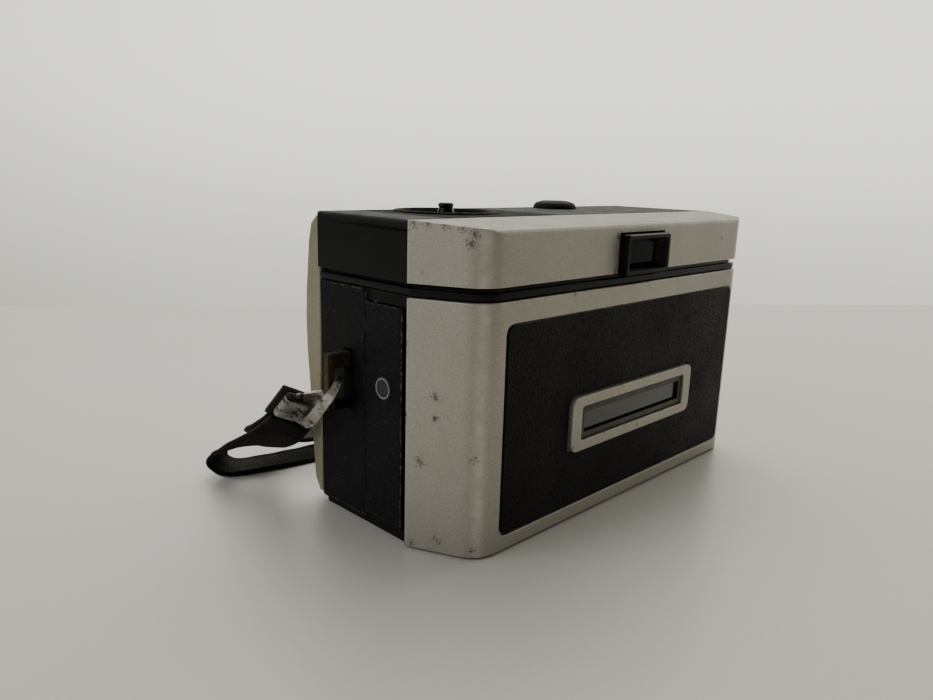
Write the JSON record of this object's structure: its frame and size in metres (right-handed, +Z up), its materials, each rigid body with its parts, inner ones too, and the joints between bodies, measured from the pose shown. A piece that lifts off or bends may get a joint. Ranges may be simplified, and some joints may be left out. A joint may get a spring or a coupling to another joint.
{
  "type": "cartridge viewfinder camera",
  "caption": "Compact cartridge-loading viewfinder camera with a hinged film door, flash-cube socket, sprung shutter button, fixed lens and a wrist strap clipped to a side lug.",
  "frame": {"origin": "on the bottom plate's flat underside, under the middle of the moulded body's width, 24 mm in front of the rear face", "axes": "+X towards the strap lug and the door hinge, +Y towards the rear with the film door, +Z up"},
  "size_m": [0.1205, 0.0767, 0.0644],
  "materials": {
    "silver": "satin",
    "cream": "satin",
    "black": "fine moulded grain",
    "gloss_black": "gloss",
    "leatherette": "pebbled",
    "chrome": "worn nickel plate",
    "rust": "rusted steel",
    "steel": "brushed",
    "brass": "turned",
    "glass": "polished",
    "pane": "clear plastic, a little scratched",
    "bezel": "aged lacquer",
    "webbing": "woven",
    "gear": "moulded"
  },
  "bodies": {
    "camera_body": {"body_casing": "black", "bottom_plate": "black", "tripod_bush": "brass", "mid_deck": "gloss_black", "front_fascia": "cream", "top_cover": "black", "top_rear_shell": "silver", "eyepiece_bezel": "gloss_black", "eyepiece_lens": "glass", "viewfinder_window": "glass", "viewfinder_tube": "black", "flash_socket_base": "black", "button_spring": "steel", "release_lever_pin": "steel", "shutter_blade_pin": "steel", "shutter_plate": "steel", "lens_mount": "black", "lens_tube": "black", "lens_retaining_ring": "chrome", "front_lens": "glass", "rear_lens": "glass", "advance_shaft": "steel", "film_gate": "steel", "hinge_pin": "steel", "side_leatherette": "leatherette", "far_side_leatherette": "leatherette", "strap_lug": "rust"},
    "door": {"door_shell": "silver", "door_leatherette": "leatherette", "window_frame": "silver", "window_bezel": "bezel", "window_pane": "pane", "door_flange": "black", "door_hook": "black", "cartridge_spring_strap_side": "steel", "cartridge_spring_far_side": "steel", "flange_leatherette": "leatherette", "flange_rivet": "black"},
    "latch": {"door_latch": "chrome"},
    "button": {"shutter_button": "black"},
    "lever": {"release_lever": "steel"},
    "blade": {"shutter_blade": "steel"},
    "ring": {"aperture_ring": "gloss_black"},
    "thumbwheel": {"advance_thumbwheel": "gear", "advance_pinion": "gear"},
    "spindle": {"spindle_gear": "gear", "take_up_spindle": "gear"},
    "flash_socket": {"flash_turntable": "gloss_black", "flash_contact_spring": "chrome", "flash_centre_post": "gloss_black"},
    "sensing_pin": {"film_sensing_pin": "steel"},
    "strap": {"strap_clip": "chrome", "wrist_strap": "webbing"}
  },
  "joints": [
    {"name": "door_swing", "type": "hinge", "parent": "camera_body", "child": "door", "pos_m": [0.0509, -0.0014, 0.024], "axis": [0, 0, -1], "range_deg": [0, 90]},
    {"name": "latch_slide", "type": "slide", "parent": "camera_body", "child": "latch", "axis": [0, 0, -1], "range_m": [0, 0.0022], "stiffness_N_per_m": 200},
    {"name": "shutter_press", "type": "slide", "parent": "camera_body", "child": "button", "axis": [0, 0, -1], "range_m": [0, 0.0016], "stiffness_N_per_m": 200},
    {"name": "release_lever_tilt", "type": "hinge", "parent": "camera_body", "child": "lever", "pos_m": [-0.009, -0.0124, 0.0385], "axis": [0, -1, 0], "range_deg": [0, 14]},
    {"name": "blade_swing", "type": "hinge", "parent": "camera_body", "child": "blade", "pos_m": [0.009, -0.01125, 0.0366], "axis": [0, -1, 0], "range_deg": [0, 40], "stiffness_Nm_per_rad": 0.0004, "springref_deg": -28.65},
    {"name": "aperture_turn", "type": "hinge", "parent": "camera_body", "child": "ring", "pos_m": [-0.0018, -0.0286, 0.025], "axis": [0, -1, 0], "range_deg": [-40, 40]},
    {"name": "thumbwheel_turn", "type": "hinge", "parent": "camera_body", "child": "thumbwheel", "pos_m": [-0.043, -0.0052, 0.0544], "axis": [0, 0, 1], "continuous": true},
    {"name": "spindle_turn", "type": "hinge", "parent": "camera_body", "child": "spindle", "pos_m": [-0.02923, -0.001, 0.0573], "axis": [0, 0, 1], "continuous": true},
    {"name": "flash_turn", "type": "hinge", "parent": "camera_body", "child": "flash_socket", "pos_m": [0.0277, -0.0073, 0.062], "axis": [0, 0, 1], "continuous": true},
    {"name": "sensing_pin_slide", "type": "slide", "parent": "camera_body", "child": "sensing_pin", "axis": [0, -1, 0], "range_m": [0, 0.0015], "stiffness_N_per_m": 60},
    {"name": "strap_swing", "type": "hinge", "parent": "camera_body", "child": "strap", "pos_m": [0.0579, -0.0075, 0.0292], "axis": [0, 0, 1], "range_deg": [0, 40]}
  ],
  "couplings": [
    {"joint": "release_lever_tilt", "follows": "shutter_press", "rad_per_m": 151.5},
    {"joint": "spindle_turn", "follows": "thumbwheel_turn", "ratio": -0.63636}
  ]
}
